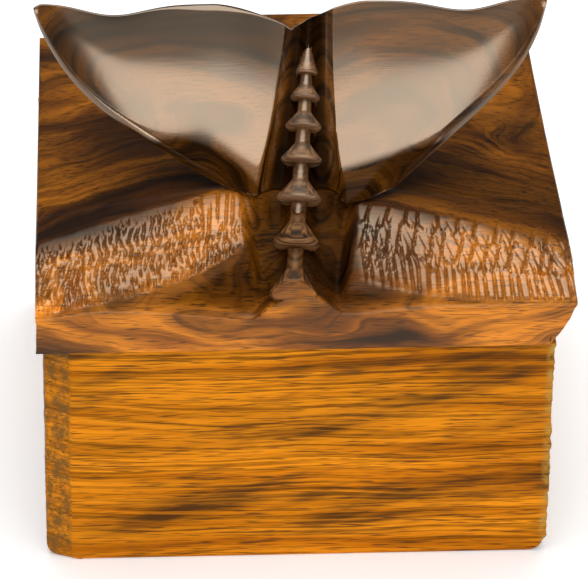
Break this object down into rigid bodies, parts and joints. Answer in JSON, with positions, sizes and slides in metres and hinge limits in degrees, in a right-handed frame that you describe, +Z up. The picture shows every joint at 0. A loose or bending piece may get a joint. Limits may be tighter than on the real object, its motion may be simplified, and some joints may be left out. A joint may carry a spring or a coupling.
{
  "type": "wooden puzzle box",
  "caption": "Live-edge hardwood puzzle box with a wave-carved lid; the carved whale tail on it turns to work hidden bolts, and the lid lifts off a felt-lined compartment.",
  "frame": {"origin": "on the table, under the middle of the block", "axes": "+Z up, the front with the bark strip faces -Y, +X to the right seen from the front"},
  "size_m": [0.15, 0.122, 0.1486],
  "materials": {
    "block_wood": "oiled and waxed",
    "lid_wood": "lacquered",
    "tail_wood": "high polish",
    "inner_wood": "bare, sanded",
    "brass": "dull",
    "felt": "wool felt"
  },
  "bodies": {
    "base": {"base_block": "block_wood", "base_floor": "inner_wood", "floor_screws": "brass", "felt_liner": "felt"},
    "lid": {"lid_block": "lid_wood", "bolt_tray": "inner_wood", "tray_screws": "brass"},
    "tail": {"whale_tail": "tail_wood", "tail_spindle": "inner_wood", "thrust_washer": "brass", "lock_cam": "inner_wood", "cam_washer": "brass", "cam_screw": "brass"},
    "left_latch": {"left_bolt": "inner_wood", "left_bolt_pin": "brass"},
    "right_latch": {"right_bolt": "inner_wood", "right_bolt_pin": "brass"},
    "gravity_pin": {"tilt_pin": "brass"}
  },
  "joints": [
    {"name": "lid_lift", "type": "slide", "parent": "base", "child": "lid", "axis": [0, 0, 1], "range_m": [0, 0.1]},
    {"name": "tail_turn", "type": "hinge", "parent": "lid", "child": "tail", "pos_m": [0, -0.02, 0.108], "axis": [0, 0, 1], "range_deg": [0, 60]},
    {"name": "left_bolt_throw", "type": "slide", "parent": "lid", "child": "left_latch", "axis": [-1, 0, 0], "range_m": [0, 0.007]},
    {"name": "right_bolt_throw", "type": "slide", "parent": "lid", "child": "right_latch", "axis": [1, 0, 0], "range_m": [0, 0.007]},
    {"name": "tilt_pin_drop", "type": "slide", "parent": "lid", "child": "gravity_pin", "axis": [0, -1, 0], "range_m": [0, 0.005]}
  ],
  "couplings": [
    {"joint": "left_bolt_throw", "follows": "tail_turn", "m_per_rad": 0.006684},
    {"joint": "right_bolt_throw", "follows": "tail_turn", "m_per_rad": 0.006684}
  ]
}
